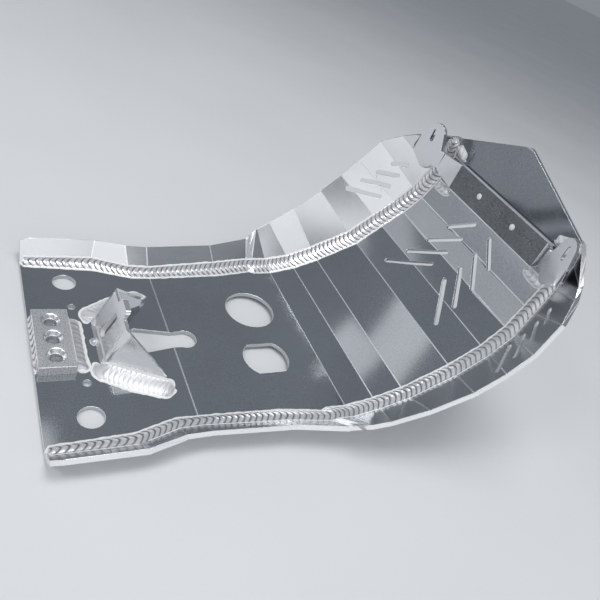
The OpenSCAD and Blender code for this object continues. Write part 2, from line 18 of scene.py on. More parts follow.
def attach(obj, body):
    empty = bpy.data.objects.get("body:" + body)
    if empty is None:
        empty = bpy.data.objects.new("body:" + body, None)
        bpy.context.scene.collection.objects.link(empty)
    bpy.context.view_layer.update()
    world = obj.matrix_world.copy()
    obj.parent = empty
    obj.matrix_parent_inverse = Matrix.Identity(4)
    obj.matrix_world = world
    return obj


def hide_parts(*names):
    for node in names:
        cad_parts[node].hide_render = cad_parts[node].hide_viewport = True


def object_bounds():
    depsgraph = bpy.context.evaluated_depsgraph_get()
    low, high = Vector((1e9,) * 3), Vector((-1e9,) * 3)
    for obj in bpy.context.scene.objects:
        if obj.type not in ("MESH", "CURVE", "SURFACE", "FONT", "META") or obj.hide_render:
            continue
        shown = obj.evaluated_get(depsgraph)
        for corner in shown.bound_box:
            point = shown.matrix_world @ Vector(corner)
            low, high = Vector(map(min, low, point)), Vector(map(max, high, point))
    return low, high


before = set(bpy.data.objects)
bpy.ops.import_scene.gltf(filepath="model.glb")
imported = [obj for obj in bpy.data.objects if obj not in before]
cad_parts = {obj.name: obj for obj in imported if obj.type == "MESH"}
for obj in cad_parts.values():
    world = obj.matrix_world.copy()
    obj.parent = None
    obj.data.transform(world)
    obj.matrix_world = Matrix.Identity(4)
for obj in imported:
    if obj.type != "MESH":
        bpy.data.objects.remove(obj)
cad_low, cad_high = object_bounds()
print("nodes:", len(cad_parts), "size:", [round(v, 4) for v in cad_high - cad_low])

# %% [markdown]
# ## The camera
# The photograph looks down at the tray from its rear right corner. The
# camera's place and its axes are in the CAD frame, in metres, so the render
# and the photograph can be laid over each other.

# %% Make the camera
CAMERA_AT = Vector((-0.07777, -0.35201, 0.36088))
CAMERA_AHEAD = Vector((0.53071, 0.63473, -0.56166)).normalized()
CAMERA_UP = Vector((-0.00658, 0.66575, 0.74615))
SENSOR_MM = 36
LENS_MM = 34.5
NEAREST_SEEN = 0.01

scene = bpy.context.scene
scene.view_settings.view_transform = "Standard"
camera_data = bpy.data.cameras.new("photo_camera")
camera_data.sensor_width = SENSOR_MM
camera_data.lens = LENS_MM
camera_data.clip_start = NEAREST_SEEN
camera = bpy.data.objects.new("photo_camera", camera_data)
scene.collection.objects.link(camera)
side_axis = CAMERA_AHEAD.cross(CAMERA_UP).normalized()
up_axis = side_axis.cross(CAMERA_AHEAD)
turn = Matrix((side_axis, up_axis, -CAMERA_AHEAD)).transposed()
camera.matrix_world = Matrix.Translation(CAMERA_AT) @ turn.to_4x4()
scene.camera = camera
print("camera at", [round(v, 3) for v in CAMERA_AT])

# %% [markdown]
# ## Helpers for materials
# Every finish below starts as a plain material and mixes noise into it. A
# picture could carry the pattern too, but noise has no seams, and one helper
# then serves every finish. These are the few steps that all of them share.

# %% Define the material helpers
WHITE = (1, 1, 1)


def new_material(name, metallic):
    material = bpy.data.materials.new(name)
    material.use_nodes = True
    shader = material.node_tree.nodes["Principled BSDF"]
    shader.inputs["Metallic"].default_value = metallic
    return material, material.node_tree, shader


def noise(tree, coords, scale, detail=3.0, roughness=0.55, stretch=None):
    """A noise texture on the coordinates. stretch scales the axes."""
    texture = tree.nodes.new("ShaderNodeTexNoise")
    texture.inputs["Scale"].default_value = scale
    texture.inputs["Detail"].default_value = detail
    texture.inputs["Roughness"].default_value = roughness
    if stretch:
        mapping = tree.nodes.new("ShaderNodeMapping")
        mapping.inputs["Scale"].default_value = stretch
        tree.links.new(coords, mapping.inputs["Vector"])
        coords = mapping.outputs["Vector"]
    tree.links.new(coords, texture.inputs["Vector"])
    return texture.outputs["Fac"]


def calculate(tree, operation, first, second, clamp=False):
    """A Math node. Each operand is a socket or a number."""
    node = tree.nodes.new("ShaderNodeMath")
    node.operation = operation
    node.use_clamp = clamp
    for socket, value in zip(node.inputs, (first, second)):
        if isinstance(value, (int, float)):
            socket.default_value = value
        else:
            tree.links.new(value, socket)
    return node.outputs[0]


def add_ramp(tree, value, stops):
    """A colour ramp; stops are (position, colour) pairs."""
    ramp = tree.nodes.new("ShaderNodeValToRGB")
    points = ramp.color_ramp.elements
    while len(points) < len(stops):
        points.new(0.5)
    for point, (position, colour) in zip(points, stops):
        point.position = position
        point.color = (*colour, 1.0)
    tree.links.new(value, ramp.inputs["Fac"])
    return ramp.outputs["Color"]


def multiply_colours(tree, first, second):
    mix = tree.nodes.new("ShaderNodeMix")
    mix.data_type = "RGBA"
    mix.blend_type = "MULTIPLY"
    mix.inputs["Factor"].default_value = 1.0
    tree.links.new(first, mix.inputs[6])
    tree.links.new(second, mix.inputs[7])
    return mix.outputs[2]


def set_roughness(tree, shader, value, low, high):
    """Carries a value of 0 to 1 to a roughness of low to high."""
    node = tree.nodes.new("ShaderNodeMapRange")
    node.inputs["To Min"].default_value = low
    node.inputs["To Max"].default_value = high
    tree.links.new(value, node.inputs["Value"])
    tree.links.new(node.outputs["Result"], shader.inputs["Roughness"])


def add_relief(tree, shader, height, strength, depth):
    """A bump from a height; depth is in metres."""
    relief = tree.nodes.new("ShaderNodeBump")
    relief.inputs["Strength"].default_value = strength
    relief.inputs["Distance"].default_value = depth
    tree.links.new(height, relief.inputs["Height"])
    tree.links.new(relief.outputs["Normal"], shader.inputs["Normal"])


print("material helpers ready")

# %% [markdown]
# ## One grain for every sheet
# Rolled sheet is never a perfect mirror. It has a fine speckle, long faint
# lines from the rolls, and slow waves that bend what it reflects. All three
# come from noise in one node group, which each finish then uses with
# strengths of its own. The group only puts out masks and heights, so the
# shader itself stays in each material.

# %% Make the grain group
WAVE_HEIGHT = 6.0
SPECKLE_HEIGHT = 0.35


def new_group(name, inputs, outputs):
    group = bpy.data.node_groups.new(name, "ShaderNodeTree")
    for label, value in inputs:
        socket = group.interface.new_socket(label, in_out="INPUT", socket_type="NodeSocketFloat")
        socket.default_value = value
    for label in outputs:
        group.interface.new_socket(label, in_out="OUTPUT", socket_type="NodeSocketFloat")
    return group, group.nodes.new("NodeGroupInput"), group.nodes.new("NodeGroupOutput")


def make_grain_group():
    group, inlet, outlet = new_group(
        "sheet_grain",
        inputs=[("Speckle", 0.5), ("Roll lines", 0.5), ("Waves", 0.5)],
        outputs=["Mask", "Clouds", "Height"],
    )
    where = group.nodes.new("ShaderNodeTexCoord").outputs["Object"]
    speckle = noise(group, where, scale=900, detail=2.0, roughness=0.7)
    rolls = noise(group, where, scale=60, detail=4.0, roughness=0.6, stretch=(1.2, 14, 14))
    waves = noise(group, where, scale=14, detail=1.0, roughness=0.4)
    clouds = noise(group, where, scale=7, detail=3.0, roughness=0.6)
    speckle = calculate(group, "SUBTRACT", speckle, 0.5)
    rolls = calculate(group, "SUBTRACT", rolls, 0.5)
    speckle = calculate(group, "MULTIPLY", speckle, inlet.outputs["Speckle"])
    rolls = calculate(group, "MULTIPLY", rolls, inlet.outputs["Roll lines"])
    mask = calculate(group, "ADD", calculate(group, "ADD", speckle, rolls), 0.5, clamp=True)
    swell = calculate(group, "MULTIPLY", waves, inlet.outputs["Waves"])
    swell = calculate(group, "MULTIPLY", swell, WAVE_HEIGHT)
    height = calculate(group, "ADD", swell, calculate(group, "MULTIPLY", speckle, SPECKLE_HEIGHT))
    group.links.new(mask, outlet.inputs["Mask"])
    group.links.new(clouds, outlet.inputs["Clouds"])
    group.links.new(height, outlet.inputs["Height"])
    return group


grain_group = make_grain_group()
print("group:", grain_group.name, len(grain_group.nodes), "nodes")

# %% [markdown]
# ## A finish for sheet metal
# Each finish mixes two tones by the grain's mask and lets the same mask
# drive the roughness, so the lighter specks are also the duller ones. Broad
# clouds darken it a little here and there. One function is enough for all
# of them, because they differ only in tones and strengths.

# %% Define a sheet finish
DARK_AT, LIGHT_AT = 0.25, 0.75
CLOUDY_AT, CLEAR_AT = 0.35, 0.65
CLOUD_BLUE = 1.02


def sheet_finish(name, dark, light, rough, grain, depth=0.00002, clouding=0.12, metallic=1.0):
    """Metal with two tones, a roughness range and the sheet's grain.

    grain holds the strengths of speckle, roll lines and waves, depth is that
    of the relief in metres, and clouding is how dark the clouds are."""
    material, tree, shader = new_material(name, metallic)
    group = tree.nodes.new("ShaderNodeGroup")
    group.node_tree = grain_group
    for label, strength in zip(("Speckle", "Roll lines", "Waves"), grain):
        group.inputs[label].default_value = strength
    mask = group.outputs["Mask"]
    tone = add_ramp(tree, mask, [(DARK_AT, dark), (LIGHT_AT, light)])
    shade = 1.0 - clouding
    cloudy = (shade, shade, shade * CLOUD_BLUE)
    clouds = add_ramp(tree, group.outputs["Clouds"], [(CLOUDY_AT, cloudy), (CLEAR_AT, WHITE)])
    tree.links.new(multiply_colours(tree, tone, clouds), shader.inputs["Base Color"])
    set_roughness(tree, shader, mask, *rough)
    add_relief(tree, shader, group.outputs["Height"], 1.0, depth)
    return material


print("sockets of the grain:", len(grain_group.interface.items_tree))

# %% [markdown]
# ## The finishes of the sheets
# All of the tray is aluminium, but its parts look different. The plate is
# dark and mirror-like. Its front lip and the crossbar's strip get a darker
# copy of their metal, a painted dark reflection. The wings, the ears and the
# saddle are bright, and the milled block is a little dull. Where a saw or a
# shear has touched the metal it is pale and scattered. The press lines are
# pale partly from the press and partly as a painted highlight. Each gets a finish.

# %% Make the sheet finishes
MILL_GRAIN = (1.3, 0.3, 0.5)
BRACKET_GRAIN = (0.9, 0.6, 0.5)

PLATE = sheet_finish("plate_mill_finish", (0.48, 0.50, 0.53), (0.62, 0.64, 0.66), (0.05, 0.13), MILL_GRAIN)
# The lip's darker copy of the plate's metal is a painted dark reflection.
LIP_PAINTED_DARK = sheet_finish("lip_painted_dark_reflection", (0.22, 0.24, 0.26), (0.34, 0.36, 0.38), (0.06, 0.15), MILL_GRAIN)
WING = sheet_finish(
    "wing_bright_finish",
    dark=(0.74, 0.75, 0.76),
    light=(0.85, 0.86, 0.86),
    rough=(0.12, 0.24),
    grain=(0.8, 0.5, 0.5),
)
BRACKET = sheet_finish(
    "bracket_bright_finish",
    dark=(0.70, 0.71, 0.72),
    light=(0.84, 0.84, 0.85),
    rough=(0.08, 0.20),
    grain=BRACKET_GRAIN,
)
SADDLE = sheet_finish(
    "saddle_bright_finish",
    dark=(0.78, 0.79, 0.79),
    light=(0.90, 0.90, 0.90),
    rough=(0.08, 0.20),
    grain=BRACKET_GRAIN,
    metallic=0.85,
)
# The strip's speckle is its own grain. Its dark tone is a painted dark reflection, a shaded copy of the
# crossbar's metal.
STRIP_PAINTED_DARK = sheet_finish(
    "strip_painted_dark_reflection",
    dark=(0.13, 0.14, 0.15),
    light=(0.32, 0.33, 0.34),
    rough=(0.10, 0.22),
    grain=(2.4, 0.6, 0.5),
    clouding=0.3,
)
BLOCK = sheet_finish(
    "block_milled_finish",
    dark=(0.54, 0.55, 0.56),
    light=(0.70, 0.70, 0.71),
    rough=(0.22, 0.34),
    grain=(1.0, 0.3, 0.2),
    metallic=0.5,
)
# The bends' finish is pale partly from the rub of the press and partly as a painted highlight along each
# bend.
PRESS_RUB_AND_HIGHLIGHT = sheet_finish(
    "press_line_rub_and_highlight",
    dark=(0.80, 0.82, 0.84),
    light=(0.92, 0.93, 0.94),
    rough=(0.32, 0.45),
    grain=(0.6, 0.4, 0.1),
)
CUT_EDGE = sheet_finish(
    "cut_edge",
    dark=(0.78, 0.80, 0.82),
    light=(0.92, 0.93, 0.94),
    rough=(0.20, 0.34),
    grain=(0.5, 0.9, 0.1),
)
SHEARED = sheet_finish(
    "sheared_wall",
    dark=(0.80, 0.80, 0.81),
    light=(0.92, 0.92, 0.92),
    rough=(0.38, 0.52),
    grain=(1.2, 0.2, 0.1),
    depth=0.00004,
    metallic=0.2,
)
print("sheet finishes:", len(bpy.data.materials))

# %% [markdown]
# ## Weld metal
# A bead of weld cools in crescents, one for each dab of the filler rod. The
# mesh carries a UV map for it: U counts the crescents, and V runs from one
# edge of the bead to the other. The fraction of U is then the place within
# one crescent. Painted shade darkens the groove between two, and a painted
# highlight brightens the back of each. A fine noise adds the wrinkled skin.
# Beside the bead lies a chalk-white border, which the arc has cleaned.

# %% Make the weld finishes
WOBBLE = 0.22


def weld_finish(name, groove_shade, crest_highlight, metallic, rough):
    """The two tones are painted shade in the groove and a painted highlight on the crest."""
    material, tree, shader = new_material(name, metallic)
    coords = tree.nodes.new("ShaderNodeTexCoord")
    split = tree.nodes.new("ShaderNodeSeparateXYZ")
    tree.links.new(coords.outputs["UV"], split.inputs["Vector"])
    where = coords.outputs["Object"]
    wobble = calculate(tree, "SUBTRACT", noise(tree, where, scale=420, detail=2.0), 0.5)
    wobble = calculate(tree, "MULTIPLY", wobble, WOBBLE)
    count = calculate(tree, "ADD", split.outputs["X"], wobble)
    within = calculate(tree, "FRACT", count, 0.0)
    # The ramp below paints shade into each groove and a highlight onto each crest.
    shaded_groove = (groove_shade, groove_shade, groove_shade * 1.04)
    rising = (groove_shade * 1.3, groove_shade * 1.3, groove_shade * 1.34)
    near_highlight = (0.94 * crest_highlight, 0.94 * crest_highlight, 0.95 * crest_highlight)
    full_highlight = (crest_highlight, crest_highlight, crest_highlight)
    falling = (0.5 + groove_shade / 2, 0.5 + groove_shade / 2, 0.5 + groove_shade / 2)
    stops = [(0.0, shaded_groove), (0.10, rising), (0.26, near_highlight)]
    stops += [(0.72, full_highlight), (0.93, falling), (1.0, shaded_groove)]
    painted_crescent_light = add_ramp(tree, within, stops)
    patches = noise(tree, where, scale=160, detail=3.0, roughness=0.6)
    tone = add_ramp(tree, patches, [(0.3, (0.80, 0.81, 0.83)), (0.6, (0.97, 0.97, 0.98))])
    tree.links.new(multiply_colours(tree, painted_crescent_light, tone), shader.inputs["Base Color"])
    set_roughness(tree, shader, patches, *rough)
    wrinkles = noise(tree, where, scale=1400, detail=3.0, roughness=0.6)
    add_relief(tree, shader, wrinkles, 0.6, 0.00010)
    return material


def margin_finish(name):
    material, tree, shader = new_material(name, metallic=0.0)
    where = tree.nodes.new("ShaderNodeTexCoord").outputs["Object"]
    spots = noise(tree, where, scale=900, detail=3.0, roughness=0.7)
    tone = add_ramp(tree, spots, [(0.3, (0.80, 0.80, 0.81)), (0.6, (0.93, 0.93, 0.93))])
    tree.links.new(tone, shader.inputs["Base Color"])
    set_roughness(tree, shader, spots, 0.38, 0.60)
    add_relief(tree, shader, spots, 0.5, 0.00006)
    return material


WELD = weld_finish("seam_weld_metal", groove_shade=0.24, crest_highlight=0.98, metallic=0.58, rough=(0.12, 0.32))
PAD = weld_finish("pad_weld_metal", groove_shade=0.55, crest_highlight=0.80, metallic=0.30, rough=(0.22, 0.45))
# A lit copy of the weld metal: its pale tones are painted light, so the lumps in the shaded corners read
# as white.
BLOB_PAINTED_LIGHT = weld_finish("blob_weld_painted_light", groove_shade=0.60, crest_highlight=0.95, metallic=0.15, rough=(0.25, 0.45))
SPECKLED = weld_finish("speckled_weld_metal", groove_shade=0.45, crest_highlight=0.80, metallic=0.70, rough=(0.3, 0.5))
WELD_MARGIN = margin_finish("weld_margin")
print("weld finishes:", [material.name for material in (WELD, PAD, BLOB_PAINTED_LIGHT, SPECKLED, WELD_MARGIN)])

# %% [markdown]
# ## From CAD triangles to a workable mesh
# A CAD node arrives as loose triangles. A copy of it is merged together
# first, and steps finer than a tenth of a millimetre are closed. The
# triangles of one plane are then known as one flat, by walking from face to
# face across edges that don't turn. Everything below looks for such flats.

# %% Copy a node and find its flats
MERGE = 0.00012
FINE_MERGE = 0.00001
SLIVER = 0.00002
FLAT = math.radians(0.3)


def copy_node(node, merge=MERGE):
    bm = bmesh.new()
    bm.from_mesh(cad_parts[node].data)
    bmesh.ops.remove_doubles(bm, verts=bm.verts, dist=merge)
    bmesh.ops.dissolve_degenerate(bm, edges=bm.edges, dist=SLIVER)
    bm.normal_update()
    return bm


def flats(bm):
    """Every flat of the mesh, as a set of faces that lie in one plane."""
    done = set()
    for seed in bm.faces:
        if seed in done:
            continue
        flat, waiting = {seed}, [seed]
        while waiting:
            for edge in waiting.pop().edges:
                if len(edge.link_faces) == 2 and edge.calc_face_angle(0.0) < FLAT:
                    new = set(edge.link_faces) - flat
                    flat |= new
                    waiting.extend(new)
        done |= flat
        yield flat


def join_flats(bm):
    """Turns each flat without a hole into a single face."""
    bm.edges.index_update()
    inner = []
    for flat in flats(bm):
        around = [edge for face in flat for edge in face.edges]
        border = [edge for edge in set(around) if around.count(edge) == 1]
        corners = {vert for edge in border for vert in edge.verts}
        hops = len(set(around)) - len(border)
        if len(corners) == len(border) and hops == len(flat) - 1:
            inner += [edge for edge in set(around) if around.count(edge) == 2]
    # sets have no fixed order, and each run has to give the same mesh
    inner.sort(key=lambda edge: edge.index)
    bmesh.ops.dissolve_edges(bm, edges=inner, use_verts=False)


block_copy = copy_node("rear_mounting_block")
print("block:", len(block_copy.faces), "triangles in", sum(1 for flat in flats(block_copy)), "flats")
block_copy.free()

# %% [markdown]
# ## Finding and rounding edges
# Two kinds of edge matter on folded sheet: shallow ones, where a press has
# bent it, and square ones, where it was cut. The wall of a round hole has
# shallow edges too, so a bend is told from them by the size of the flats
# beside it. A bevel rounds the edges, and because its new faces are known,
# they can be given a finish of their own.

# %% Find and soften edges
def flat_areas(bm):
    """For each face, the area of the whole flat that it belongs to."""
    areas = {}
    for flat in flats(bm):
        total = sum(face.calc_area() for face in flat)
        areas.update((face, total) for face in flat)
    return areas


def edges_between(bm, low, high, least_area=0.0):
    """Edges whose two faces turn by low to high degrees."""
    areas = flat_areas(bm) if least_area else {}
    found = []
    for edge in bm.edges:
        if len(edge.link_faces) != 2:
            continue
        if low <= math.degrees(edge.calc_face_angle(0.0)) <= high:
            if all(areas.get(face, 1.0) >= least_area for face in edge.link_faces):
                found.append(edge)
    return found


def soften(bm, edges, width, segments, slot):
    """Rounds edges and gives the round its own material slot."""
    made = bmesh.ops.bevel(
        bm,
        geom=edges,
        offset=width,
        segments=segments,
        affect="EDGES",
        profile=0.5,
        material=-1,
        clamp_overlap=False,
    )
    for face in made["faces"]:
        face.material_index = slot


block_copy = copy_node("rear_mounting_block")
print("square edges of the block:", len(edges_between(block_copy, 85, 95)))
block_copy.free()

# %% [markdown]
# ## Finishing a sheet piece
# First the press lines get a narrow round of their own, in a lighter, duller
# finish: partly the rub of the press, partly a painted highlight along each
# bend. Then the cut edges lose their sharpness, which gives each one the
# bright thin line that deburred sheet has. Weighted normals keep the big
# faces flat next to the rounds.

# %% Turn a node into a finished piece
PRESS_WIDTH = 0.0006
PRESS_SEGMENTS = 3
PRESS_TURN = (1, 50)
LEAST_FLAT = 0.00004
EDGE_WIDTH = 0.00025
EDGE_SEGMENTS = 2
CUT_TURN = (55, 125)
SHARP_TURN = math.radians(32)
SHEET_FACE, PRESS_FACE, CUT_FACE, OTHER_FACE = range(4)


def add_piece(name, bm, node, materials):
    """Makes the object. Points outside the CAD model's box are drawn in."""
    for vert in bm.verts:
        vert.co = [min(max(v, low), high) for v, low, high in zip(vert.co, cad_low, cad_high)]
    mesh = bpy.data.meshes.new(name)
    bm.to_mesh(mesh)
    bm.free()
    mesh.polygons.foreach_set("use_smooth", [True] * len(mesh.polygons))
    for material in materials:
        mesh.materials.append(material)
    piece = bpy.data.objects.new(name, mesh)
    scene.collection.objects.link(piece)
    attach(piece, "root")
    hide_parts(node)
    return piece


def sheet_piece(node, finish, press_width=PRESS_WIDTH, edge_width=EDGE_WIDTH, folded=True):
    """folded is False where the bends are already round in the CAD model."""
    bm = copy_node(node, MERGE if folded else FINE_MERGE)
    if not folded:
        join_flats(bm)
    bends = edges_between(bm, *PRESS_TURN, least_area=LEAST_FLAT) if folded else []
    if bends:
        soften(bm, bends, press_width, PRESS_SEGMENTS, PRESS_FACE)
    cuts = edges_between(bm, *CUT_TURN)
    soften(bm, cuts, edge_width, EDGE_SEGMENTS, CUT_FACE)
    piece = add_piece(node + "_dressed", bm, node, [finish, PRESS_RUB_AND_HIGHLIGHT, CUT_EDGE])
    piece.data.set_sharp_from_angle(angle=SHARP_TURN)
    weighted = piece.modifiers.new("flat_faces", "WEIGHTED_NORMAL")
    weighted.keep_sharp = True
    weighted.weight = 100
    print(node, "bends:", len(bends), "cuts:", len(cuts), "faces:", len(piece.data.polygons))
    return piece


plate = sheet_piece("main_plate", PLATE)
for wing in ("left_wing", "right_wing"):
    sheet_piece(wing, WING)

# %% [markdown]
# ## Faces with a look of their own
# Some faces don't look like the rest of their piece. The plate's front lip
# and the crossbar's strip get a painted dark reflection, the saddle's slot
# has sheared walls, and the block's milled bevels are bare. A second piece on
# top would be one way.
# It is simpler to pick those faces by place and direction, and to give them
# another slot of the same mesh.

# %% Dress the fittings
LIP_FROM_X = 0.392
LOOKS_BACK = -0.5
SADDLE_EDGE_WIDTH = 0.00012
SADDLE_SLOT_HALF_WIDTH = 0.0047
SADDLE_SLOT_HEIGHTS = (0.007, 0.035)
SADDLE_SLOT_FRONT_X = 0.052
WALL_TURN = 0.6
CROSSBAR_PRESS_WIDTH = 0.0012
SQUARE_ON = 0.99
BLOCK_PRESS_WIDTH = 0.0002
BEVEL_RISE = (0.3, 0.9)


def give_slot(piece, slot, chosen):
    """Gives the faces that chosen picks another material slot."""
    for face in piece.data.polygons:
        if chosen(face):
            face.material_index = slot


def on_lip(face):
    looks_back = face.normal.x < LOOKS_BACK
    return face.material_index == SHEET_FACE and face.center.x > LIP_FROM_X and looks_back


def in_saddle_slot(face):
    low, high = SADDLE_SLOT_HEIGHTS
    in_slot = abs(face.center.y) < SADDLE_SLOT_HALF_WIDTH and low < face.center.z < high
    return in_slot and abs(face.normal.x) < WALL_TURN and face.center.x < SADDLE_SLOT_FRONT_X


def on_strip(face):
    return face.material_index == SHEET_FACE and abs(face.normal.x) > SQUARE_ON


def on_block_bevel(face):
    low, high = BEVEL_RISE
    return face.material_index == SHEET_FACE and low < face.normal.z < high


# The lip's faces, picked by the way they face, take the painted dark reflection.
plate.data.materials.append(LIP_PAINTED_DARK)
give_slot(plate, OTHER_FACE, on_lip)
saddle = sheet_piece("saddle_bracket", SADDLE, edge_width=SADDLE_EDGE_WIDTH, folded=False)
saddle.data.materials.append(SHEARED)
give_slot(saddle, OTHER_FACE, in_saddle_slot)
crossbar = sheet_piece("front_crossbar", BRACKET, press_width=CROSSBAR_PRESS_WIDTH)
# The strip's faces, picked by the way they face, take the painted dark reflection.
crossbar.data.materials.append(STRIP_PAINTED_DARK)
give_slot(crossbar, OTHER_FACE, on_strip)
block = sheet_piece("rear_mounting_block", BLOCK, press_width=BLOCK_PRESS_WIDTH)
give_slot(block, CUT_FACE, on_block_bevel)

# %% [markdown]
# ## Reading the rings of a bead
# A CAD bead is a row of coarse rings with five or six points each. They can
# be found again in the loose mesh. The end of a bead is a small flat face,
# and each ring lies one edge further from it than the ring before. Once the
# rings are in order, a much finer bead can be drawn through them, and it
# follows the CAD bead wherever that goes.

# %% Find the rings
RING_SIZES = (5, 6)


def rings_from(end):
    rings, done = [end], set(end)
    while True:
        nearby = {edge.other_vert(vert) for vert in rings[-1] for edge in vert.link_edges} - done
        if not nearby:
            return rings
        rings.append(nearby)
        done |= nearby


def find_rings(bm):
    """Tries each small flat as the bead's end until all rings are equal."""
    for flat in flats(bm):
        end = {vert for face in flat for vert in face.verts}
        if len(end) in RING_SIZES and len(flat) == len(end) - 2:
            rings = rings_from(end)
            if all(len(ring) == len(end) for ring in rings):
                return rings
    raise ValueError("no rings found")


def by_place(vert):
    return tuple(vert.co)


def walk_round(ring):
    """The points of one ring in order. Edges across its plane don't count."""
    path = [min(ring, key=by_place)]
    while len(path) < len(ring):
        steps = {
            edge.other_vert(path[-1])
            for edge in path[-1].link_edges
            if any(set(face.verts) - ring for face in edge.link_faces)
        }
        path.append(min((steps & ring) - set(path), key=by_place))
    return [vert.co.copy() for vert in path]


def line_up(ring, before):
    """Turns or flips a ring so that its points follow those before it."""
    turned = [ring[k:] + ring[:k] for k in range(len(ring))]
    turned += [choice[::-1] for choice in turned]
    return min(turned, key=lambda choice: sum((p - q).length for p, q in zip(choice, before)))


bead_copy = copy_node("seam_weld_left", FINE_MERGE)
print("rings of seam_weld_left:", len(find_rings(bead_copy)))
bead_copy.free()

# %% [markdown]
# ## From rings to stations
# Each bead leans on two sheets, so what matters at each ring is the corner
# between them, the bead's edge on either sheet, and its crown. A ring of six
# has a point in the corner: the one whose two neighbouring lines are the
# longest. A ring of five has none, so the middle of its longest side is used.

# %% Read a bead
CORNERED = 6
CROWN = 2


def read_bead(node):
    """Stations along a bead: corner, edge a, edge b, and the crown between."""
    bm = copy_node(node, FINE_MERGE)
    rings = [walk_round(ring) for ring in find_rings(bm)]
    bm.free()
    for i in range(1, len(rings)):
        rings[i] = line_up(rings[i], rings[i - 1])
    count = len(rings[0])

    def edge_length(k):
        return sum((ring[k % count] - ring[k - 1]).length for ring in rings)

    if count == CORNERED:
        corner = max(range(count), key=lambda k: edge_length(k) + edge_length(k + 1))
        skins = [ring[corner + 1 :] + ring[:corner] for ring in rings]
        corners = [ring[corner] for ring in rings]
    else:
        gap = max(range(count), key=edge_length)
        skins = [ring[gap:] + ring[:gap] for ring in rings]
        corners = [(skin[0] + skin[-1]) / 2 for skin in skins]
    if skins[0][0].z > skins[0][-1].z:
        skins = [skin[::-1] for skin in skins]
    stations = [(c, skin[0], skin[-1], skin[CROWN]) for c, skin in zip(corners, skins)]
    span = corners[-1] - corners[0]
    longest = max(range(3), key=lambda axis: abs(span[axis]))
    return stations if span[longest] > 0 else stations[::-1]


print("stations along block_rear_weld:", len(read_bead("block_rear_weld")))

# %% [markdown]
# ## The kinds of bead
# The long seams are plain and evenly rippled, and so is the weld behind the
# block. The pads beside the saddle are wide and low, the weld in front of
# the block is flat and speckled, and the four at the crossbar are short
# lumps. Each kind is described once, and the plain seam is the default.

# %% Describe the beads
class BeadLook(NamedTuple):
    """The shape of one kind of bead. Lengths are in metres."""

    metal: bpy.types.Material
    pitch: float = 0.0056  # from one crescent to the next
    height: float = 0.0006  # of the crescents
    bow: float = 1.0  # how far the crescents bulge forwards
    margin: float = 0.0022  # width of the white border
    end_radius: float = 0.002
    reach: tuple = (0.0, 0.0)  # how far the rear and front ends run on
    heart: float = 0.0  # where the ends close: 0 at the corner, 1 at edge a
    climb: float = 1.0  # share of the height up to edge b


SEAM_LOOK = BeadLook(WELD)
RIGHT_SEAM_LOOK = SEAM_LOOK._replace(bow=-1.0)
BLOCK_REAR_LOOK = SEAM_LOOK._replace(end_radius=0.0015, pitch=0.0070, height=0.0010)
PAD_LOOK = BeadLook(
    PAD,
    pitch=0.0040,
    height=0.00028,
    margin=0.0024,
    end_radius=0.007,
    reach=(0.003, 0.0005),
    heart=0.5,
    climb=0.75,
)
BLOCK_FRONT_LOOK = BeadLook(
    SPECKLED,
    height=0.0003,
    bow=0.0,
    margin=0.0030,
    end_radius=0.005,
    reach=(0.0010, 0.0010),
    heart=0.5,
)
FOOT_LOOK = BeadLook(
    SPECKLED, pitch=0.0030, height=0.0002, margin=0.0008, end_radius=0.003, heart=0.3, climb=0.7
)
# The crossbar lumps use the lit copy of the weld metal, with painted light in its tones.
BLOB_LOOK = BeadLook(
    BLOB_PAINTED_LIGHT, pitch=0.0065, height=0.0007, margin=0.0014, end_radius=0.004, reach=(0.0015, 0.0015)
)
looks = (SEAM_LOOK, PAD_LOOK, BLOCK_FRONT_LOOK, FOOT_LOOK, BLOB_LOOK)
print("bead metals:", [look.metal.name for look in looks])

# %% [markdown]
# ## Drawing a finer ring
# The new bead follows the corner and both edges of the CAD bead. Its ripples
# rise steeply out of a groove and fall off gently. The groove lags behind in
# the middle of the bead, which makes it a crescent. A thin white border lies
# on the sheet along both edges, and the ends are rounded. No single operator
# makes such a shape, so each ring's points are worked out one by one.

# %% Draw one ring
ACROSS = 12  # steps from edge to edge
FILM = 0.00012  # how far the white border stands off the sheet
SCALLOP = 0.00025  # how far a crescent pushes the bead's edge out
BOW_DEPTH = 0.75  # lag of the groove, in crescents
MID_RIPPLE = 0.4  # a ripple above it lifts the crown, one below it lowers it
RUN_ON_LOW = 0.8  # share of the reach over which the bead is low
LEAST_LIFT = 0.3  # share of the crown that is left there
RIDGE = 0.7  # where the border is highest, from the bead outwards
BEAT_DRIFT = 0.25  # how far the crescents wander, in crescents
SIZE_DRIFT = 0.35  # how much their height and the border's width vary
END_POWER = 2.4  # 2 would make the ends round; more makes them fuller
LEAST_END = 0.02  # the end face's share of the full bead
RIPPLE_POWER = 0.6  # below 1, a ripple rises faster than it falls
CREST_POWER = 0.7  # below 1, the ripples reach out to the bead's edges
NOISE_ROW = 0.37
BORDER_V_A = (-0.4, -0.2, -0.1)  # V of the three points before edge a
BORDER_V_B = (1.1, 1.2)  # V of the two points after edge b


def rounded(distance, radius):
    """0 at the end of a bead, 1 from one radius inwards."""
    part = 1 - min(max(distance, 0.0), radius) / radius
    return max((1 - part**END_POWER) ** (1 / END_POWER), LEAST_END)


def ripple(count):
    return math.sin(math.pi * (count % 1.0) ** RIPPLE_POWER)


def uneven(place, scale, seed):
    """A smooth random value from about -1 to 1."""
    return noise_value(Vector((place / scale, seed, NOISE_ROW)))


